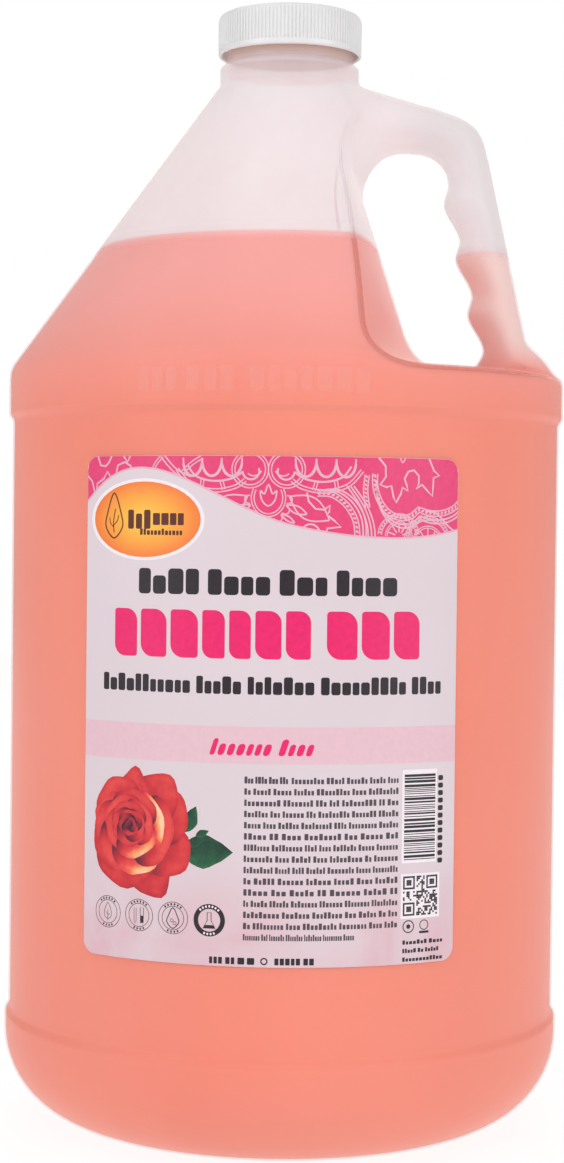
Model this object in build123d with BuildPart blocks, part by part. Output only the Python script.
from build123d import *
import os
from math import cos, pi, radians, sin, sqrt, tan

# One-gallon round jug of blow-moulded polyethylene with a screw cap, a label and its oil.
# Millimetres. The origin is the middle of the base on the jug's axis, +Z is up, the handle is
# towards +X and the label faces -Y.

# ---- jug: shell of revolution
BODY_R = 75.85            # straight wall between the two raised bands
BAND_R = 77.0             # raised bands at the heel and at the shoulder
BASE_FLAT_R = 52.0        # outer edge of the flat ring that the jug stands on
HEEL_R = BAND_R - BASE_FLAT_R
PUSH_UP_R = 40.0          # hollow in the middle of the base
PUSH_UP_H = 2.5
PUSH_UP_SLOPE = 4.0       # width of the sloping edge of that hollow
LOWER_BAND_TOP = 29.0
UPPER_BAND_BOTTOM = 193.6
BAND_STEP_H = 1.5         # height of the sloping step between band and wall
SHOULDER_Z = 205.9        # where the cone would meet the upper band if it weren't rounded
SHOULDER_ROUND = 6.4
COLLAR_R = 19.35
COLLAR_Z = 285.8          # where the cone meets the collar
COLLAR_TOP = 291.8
CONE_SLOPE = (BAND_R - COLLAR_R) / (COLLAR_Z - SHOULDER_Z)
WALL = 1.15               # thickness of the moulded wall
OIL_GAP = 0.1             # room between the oil's solid and the wall

# ---- neck finish and closure: SPI 38-400, one right-hand thread, six turns to the inch
THREAD_PITCH = 25.4 / 6
THREAD_DEPTH = 1.2
NECK_R = 17.45            # E/2, root of the neck thread
NECK_TOP = 303.4
NECK_FOOT_ROUND = 2.0     # where the cone runs into the neck, under the collar
BORE_RUN_OUT = 10.0       # how far the hollow forms reach past the open top of the neck
THREAD_TURNS = 1.25
THREAD_START_Z = 296.0
THREAD_START_ANGLE = 200
THREAD_BASE_W = 2.3
THREAD_CREST_W = 1.0
THREAD_FADE = 30          # degrees over which each end of a thread sinks into its wall
THREAD_FADE_MIN = 0.15    # share of the full section left at a thread's very end
THREAD_SUNK = 0.25        # share of its height that a thread reaches into its wall
THREAD_STEP = 10          # degrees between the sections of a thread
THREAD_GAP = 0.35         # radial room between the cap's thread and the neck
CAP_THREAD_TURNS = 1.25
COLLAR_CHAMFER = 1.2

CAP_R = 19.95
CAP_BOTTOM = 294.3
CAP_TOP = 305.7
CAP_BORE_R = 18.95
CAP_TOP_WALL = 1.3
CAP_CORNER = 2.0
CAP_BEAD_H = 1.6          # plain rim below the ribs
CAP_LIP_ROUND = 0.6
CAP_LIP_CHAMFER = 0.3
CAP_RIBS = 120
CAP_RIB_R = 0.36
CAP_THREAD_BASE_W = 1.9
CAP_THREAD_CREST_W = 0.8

LINER_R = 18.4
LINER_T = 0.96
LINER_GAP = 0.02

# ---- handle and the recess behind it, in the XZ plane
RECESS_FLOOR = 205.0
RECESS_FOOT_X = 36.6      # where the recess wall would meet its floor
RECESS_LEAN = 18.2        # degrees that the recess wall leans in towards the neck
RECESS_BEND_Z = 274.0     # above this the wall turns out again, under the collar
RECESS_CORNER = 12.0
RECESS_CEILING_RISE = 0.75  # how steeply the ceiling climbs away from the wall
RECESS_FAR_X = 150.0      # end of the recess, clear of the jug
RECESS_CENTRE_X = -140.0  # the wall bulges: it is turned about a vertical axis here
RECESS_ARC = 60           # degrees of that turn, more than the jug's width
RECESS_ROUND = 4.0        # outer edges of the recess
RECESS_RIM_X = 8.0        # those edges all lie beyond this x

ARM_START = (19.4, 286.2)  # outer line of the arm above the recess, from the collar to the elbow
ARM_END = (46.3, 278.4)
# arm sections: distance along that line, thickness below it, half width
ARM_STATIONS = (
    (-5.0, 26.0, 14.0),
    (-1.0, 25.5, 13.8),
    (3.0, 24.5, 13.5),
    (6.5, 22.2, 13.2),
    (9.5, 19.4, 12.8),
    (12.5, 16.4, 12.4),
    (15.5, 14.2, 12.1),
    (18.5, 13.3, 12.0),
)
# elbow sections: inner point and outer point, x and z
ELBOW_STATIONS = (
    ((38.0, 267.9), (41.0, 280.0)),
    ((41.0, 266.6), (47.5, 278.0)),
    ((43.2, 264.4), (52.3, 274.9)),
    ((44.3, 262.4), (54.3, 271.2)),
)
GRIP_LEAN = 12.5          # degrees that the grip leans in towards the neck
GRIP_TOP = (54.9, 269.3)  # where the grip's straight outer line starts
GRIP_START = 5.5          # first grip section, measured down that line
GRIP_STEP = 2.25
GRIP_LENGTH = 49.5
GRIP_THICKNESS = 12.0     # between the ridges
HANDLE_HALF_W = 12.0
FIRST_VALLEY = 7.3
FINGER_PITCH = 15.7
FINGER_DEPTH = 2.6
RIDGE_RISE = 0.34         # share of the pitch taken by a ridge's short upper side
# foot of the grip: distance down, extra thickness inward and outward, half width
FOOT_STATIONS = (
    (57.5, 2.2, 1.7, 12.8),
    (60.0, 5.2, 3.6, 14.0),
    (62.5, 8.0, 5.4, 15.0),
    (65.0, 10.0, 6.6, 15.8),
    (67.5, 11.2, 7.1, 16.4),
)

# ---- fill and label
OIL_LEVEL = 239.8
LABEL_BOTTOM = 53.9
LABEL_H = 127.0           # a 4 by 5 inch label
LABEL_W = 101.6
LABEL_CENTRE = 266.8      # degrees about +Z from +X, a little left of the front
LABEL_T = 0.12
LABEL_CORNER = 3.5

SEAM_PLANE = Plane((0, 0, 0), x_dir=(-1, 0, 0), z_dir=(0, 1, 0))  # upright, away from the handle


def shell_section(inset, top):
    """Half section of the jug's turned form, radius by height, `inset` inside its outer surface."""
    neck_foot = COLLAR_Z + (COLLAR_R - NECK_R) / CONE_SLOPE
    with BuildSketch() as section:
        with BuildLine():
            base = Polyline(
                (0, PUSH_UP_H),
                (PUSH_UP_R - PUSH_UP_SLOPE, PUSH_UP_H),
                (PUSH_UP_R, 0),
                (BASE_FLAT_R, 0),
            )
            heel = TangentArc(base @ 1, (BAND_R, HEEL_R), tangent=(1, 0))
            Polyline(
                heel @ 1,
                (BAND_R, LOWER_BAND_TOP),
                (BODY_R, LOWER_BAND_TOP + BAND_STEP_H),
                (BODY_R, UPPER_BAND_BOTTOM - BAND_STEP_H),
                (BAND_R, UPPER_BAND_BOTTOM),
                (BAND_R, SHOULDER_Z),
                (NECK_R, neck_foot),
                (NECK_R, top),
                (0, top),
                (0, PUSH_UP_H),
            )
        make_face()
        corners = section.vertices()
        shoulder = [v for v in corners if abs(v.Y - SHOULDER_Z) < 0.01]
        neck = [v for v in corners if abs(v.Y - neck_foot) < 0.01]
        fillet(shoulder, SHOULDER_ROUND)
        fillet(neck, NECK_FOOT_ROUND)
        if inset:
            mirror(about=Plane.YZ)
            offset(amount=-inset, kind=Kind.INTERSECTION)
            with Locations((BAND_R, top / 2)):
                Rectangle(2 * BAND_R, 2 * top, mode=Mode.INTERSECT)
    return section.sketch


def recess_cutter(inset):
    """Space behind the handle: a bulging wall, a flat floor and a ceiling under the collar."""
    lean = tan(radians(RECESS_LEAN))
    floor_z = RECESS_FLOOR - inset
    foot_r = RECESS_FOOT_X - RECESS_CENTRE_X - inset / cos(radians(RECESS_LEAN)) + lean * inset
    bend_r = foot_r - lean * (RECESS_BEND_Z - floor_z)
    far_r = RECESS_FAR_X - RECESS_CENTRE_X
    rise = RECESS_CEILING_RISE * (far_r - bend_r)
    half = radians(RECESS_ARC / 2)
    start = Plane(
        (RECESS_CENTRE_X, 0, 0),
        x_dir=(cos(half), -sin(half), 0),
        z_dir=(-sin(half), -cos(half), 0),
    )
    with BuildPart() as cutter:
        with BuildSketch(start) as section:
            with BuildLine():
                Polyline(
                    (foot_r, floor_z),
                    (bend_r, RECESS_BEND_Z),
                    (far_r, RECESS_BEND_Z + rise),
                    (far_r, floor_z),
                    close=True,
                )
            make_face()
            inner = section.vertices().sort_by(Axis.X)[:2]
            fillet(inner, RECESS_CORNER + inset)
        revolve(axis=Axis((RECESS_CENTRE_X, 0, 0), (0, 0, 1)), revolution_arc=RECESS_ARC)
    return cutter.part


def ridge_height(u):
    """Finger ridge over one pitch, 0 to 1: a short rise, then the long slope a finger rests on."""
    if u < RIDGE_RISE:
        return (1 - cos(pi * u / RIDGE_RISE)) / 2
    return (1 + cos(pi * (u - RIDGE_RISE) / (1 - RIDGE_RISE))) / 2


def handle_stations():
    """(inner point, outer point, half width) of each cross-section, from the neck to the band."""
    down = Vector(sin(radians(GRIP_LEAN)), 0, -cos(radians(GRIP_LEAN)))
    inward = Vector(-cos(radians(GRIP_LEAN)), 0, -sin(radians(GRIP_LEAN)))
    top = Vector(GRIP_TOP[0], 0, GRIP_TOP[1])
    arm_start = Vector(ARM_START[0], 0, ARM_START[1])
    along = (Vector(ARM_END[0], 0, ARM_END[1]) - arm_start).normalized()
    below = Vector(along.Z, 0, -along.X)
    stations = []
    for s, thickness, width in ARM_STATIONS:
        outer = arm_start + along * s
        stations.append((outer + below * thickness, outer, width))
    for inner, outer in ELBOW_STATIONS:
        stations.append((Vector(inner[0], 0, inner[1]), Vector(outer[0], 0, outer[1]), HANDLE_HALF_W))
    count = round(GRIP_LENGTH / GRIP_STEP)
    for i in range(count + 1):
        s = GRIP_START + i * GRIP_STEP
        outer = top + down * s
        thickness = GRIP_THICKNESS
        if s > FIRST_VALLEY:
            thickness += FINGER_DEPTH * ridge_height(((s - FIRST_VALLEY) / FINGER_PITCH) % 1)
        stations.append((outer + inward * thickness, outer, HANDLE_HALF_W))
    for s, flare_in, flare_out, width in FOOT_STATIONS:
        line = top + down * s
        stations.append((line + inward * (GRIP_THICKNESS + flare_in), line - inward * flare_out, width))
    return stations


def handle(inset):
    """Hollow or outer form of the handle: oval sections lofted along it."""
    with BuildPart() as tube:
        for inner, outer, half_width in handle_stations():
            across = outer - inner
            plane = Plane((inner + outer) / 2, x_dir=across, z_dir=across.cross(Vector(0, 1, 0)))
            a = across.length / 2 - inset
            b = half_width - inset
            p = a * sqrt(0.5)
            q = b * sqrt(0.5)
            with BuildSketch(plane):
                with BuildLine():
                    Spline((a, 0), (p, q), (0, b), (-p, q), (-a, 0), tangents=((0, 1), (0, -1)))
                    Spline((-a, 0), (-p, -q), (0, -b), (p, -q), (a, 0), tangents=((0, -1), (0, 1)))
                make_face()
        loft()
    return tube.part


def moulded_form(inset, top):
    """Solid of the jug without its collar and threads, `inset` inside the outer surface."""
    section = shell_section(inset, top)
    recess = recess_cutter(inset)
    grip = handle(inset)
    with BuildPart() as form:
        with BuildSketch(SEAM_PLANE):
            add(section)
        revolve(axis=Axis.Z)
        add(recess, mode=Mode.SUBTRACT)
        over_floor = form.edges().filter_by(lambda e: e.bounding_box().min.Z > RECESS_FLOOR - inset - 1)
        under_neck = over_floor.filter_by(lambda e: e.bounding_box().max.Z < COLLAR_TOP)
        rim = under_neck.filter_by(lambda e: e.bounding_box().min.X > RECESS_RIM_X)
        fillet(rim, RECESS_ROUND)
        add(grip)
    return form.part


def thread_ridge(root_r, crest_r, base_w, crest_w, start_z, start_angle, turns):
    """Right-hand thread from trapezoid sections; its ends sink into the wall that carries it."""
    steps = round(turns * 360 / THREAD_STEP)
    with BuildPart() as ridge:
        for i in range(steps + 1):
            turned = i * THREAD_STEP
            end = min(turned, steps * THREAD_STEP - turned)
            full = THREAD_FADE_MIN + (1 - THREAD_FADE_MIN) * min(1, end / THREAD_FADE)
            crest = root_r + (crest_r - root_r) * full
            sunk = root_r + (root_r - crest_r) * THREAD_SUNK
            plane = Plane(
                (0, 0, start_z + THREAD_PITCH * turned / 360),
                x_dir=(cos(radians(start_angle + turned)), sin(radians(start_angle + turned)), 0),
                z_dir=(sin(radians(start_angle + turned)), -cos(radians(start_angle + turned)), 0),
            )
            with BuildSketch(plane):
                with BuildLine():
                    Polyline(
                        (sunk, -base_w / 2 * full),
                        (crest, -crest_w / 2 * full),
                        (crest, crest_w / 2 * full),
                        (sunk, base_w / 2 * full),
                        close=True,
                    )
                make_face()
        loft()
    return ridge.part


os.makedirs("parts", exist_ok=True)

outer_form = moulded_form(0, NECK_TOP)
cavity_form = moulded_form(WALL, NECK_TOP + BORE_RUN_OUT)
fill_form = moulded_form(WALL + OIL_GAP, NECK_TOP + BORE_RUN_OUT)
neck_thread = thread_ridge(
    NECK_R,
    NECK_R + THREAD_DEPTH,
    THREAD_BASE_W,
    THREAD_CREST_W,
    THREAD_START_Z,
    THREAD_START_ANGLE,
    THREAD_TURNS,
)
cap_thread = thread_ridge(
    CAP_BORE_R,
    NECK_R + THREAD_GAP,
    CAP_THREAD_BASE_W,
    CAP_THREAD_CREST_W,
    THREAD_START_Z,
    THREAD_START_ANGLE - 180,
    CAP_THREAD_TURNS,
)

# ---- jug: one hollow moulding with its handle, collar and threaded neck
with BuildPart() as jug:
    add(outer_form)
    with BuildSketch(Plane.XY.offset(COLLAR_Z)):
        Circle(COLLAR_R)
    extrude(amount=COLLAR_TOP - COLLAR_Z)
    circles = jug.edges().filter_by(GeomType.CIRCLE)
    collar_rim = circles.filter_by_position(Axis.Z, COLLAR_TOP - 0.01, COLLAR_TOP + 0.01)
    chamfer(collar_rim.sort_by(SortBy.RADIUS)[-1], COLLAR_CHAMFER)
    add(neck_thread)
    add(cavity_form, mode=Mode.SUBTRACT)
jug.part.label = "jug"
export_step(jug.part, "parts/jug.step")

# ---- screw cap: ribbed skirt over a plain bead, rounded top corner, thread inside
with BuildPart() as screw_cap:
    with BuildSketch(Plane.XY.offset(CAP_BOTTOM)):
        Circle(CAP_R - CAP_RIB_R)
        with PolarLocations(CAP_R - CAP_RIB_R, CAP_RIBS):
            Circle(CAP_RIB_R)
    extrude(amount=CAP_TOP - CAP_BOTTOM)
    with BuildSketch(SEAM_PLANE):
        with Locations((0, CAP_BOTTOM)):
            Rectangle(CAP_R + 1, CAP_TOP - CAP_BOTTOM, align=(Align.MIN, Align.MIN))
        with Locations((CAP_R - CAP_CORNER, CAP_TOP - CAP_CORNER)):
            Rectangle(CAP_CORNER + 1, CAP_CORNER, align=(Align.MIN, Align.MIN), mode=Mode.SUBTRACT)
            Circle(CAP_CORNER)
    revolve(axis=Axis.Z, mode=Mode.INTERSECT)
    with BuildSketch(SEAM_PLANE):
        with Locations((0, CAP_BOTTOM)):
            Rectangle(CAP_R, CAP_BEAD_H, align=(Align.MIN, Align.MIN))
    revolve(axis=Axis.Z)
    with BuildSketch(Plane.XY.offset(CAP_BOTTOM)):
        Circle(CAP_BORE_R)
    extrude(amount=CAP_TOP - CAP_TOP_WALL - CAP_BOTTOM, mode=Mode.SUBTRACT)
    mouth = screw_cap.edges().filter_by(GeomType.CIRCLE).group_by(Axis.Z)[0].sort_by(SortBy.RADIUS)
    fillet(mouth[-1], CAP_LIP_ROUND)
    mouth = screw_cap.edges().filter_by(GeomType.CIRCLE).group_by(Axis.Z)[0].sort_by(SortBy.RADIUS)
    chamfer(mouth[0], CAP_LIP_CHAMFER)
    add(cap_thread)
screw_cap.part.label = "screw_cap"
export_step(screw_cap.part, "parts/screw_cap.step")

# ---- liner: foam disc held against the cap's inner top, sealing on the neck rim
with BuildPart() as cap_liner:
    with BuildSketch(Plane.XY.offset(NECK_TOP + LINER_GAP)):
        Circle(LINER_R)
    extrude(amount=LINER_T)
cap_liner.part.label = "cap_liner"
export_step(cap_liner.part, "parts/cap_liner.step")

# ---- oil: fills the jug and the foot of the hollow handle to one level
with BuildPart() as oil:
    add(fill_form)
    split(bisect_by=Plane.XY.offset(OIL_LEVEL), keep=Keep.BOTTOM)
oil.part.label = "oil"
export_step(oil.part, "parts/oil.step")

# ---- label: film wrapped on the front of the body
with BuildPart() as front_label:
    arc = 360 * LABEL_W / (2 * pi * BODY_R)
    first = radians(LABEL_CENTRE - arc / 2)
    with BuildSketch(Plane((0, 0, 0), x_dir=(cos(first), sin(first), 0), z_dir=(sin(first), -cos(first), 0))):
        with Locations((BODY_R, LABEL_BOTTOM)):
            Rectangle(LABEL_T, LABEL_H, align=(Align.MIN, Align.MIN))
    revolve(axis=Axis.Z, revolution_arc=arc)
    corners = [e for e in front_label.edges().filter_by(GeomType.LINE) if abs(e.length - LABEL_T) < 0.001]
    fillet(corners, LABEL_CORNER)
front_label.part.label = "front_label"
export_step(front_label.part, "parts/front_label.step")
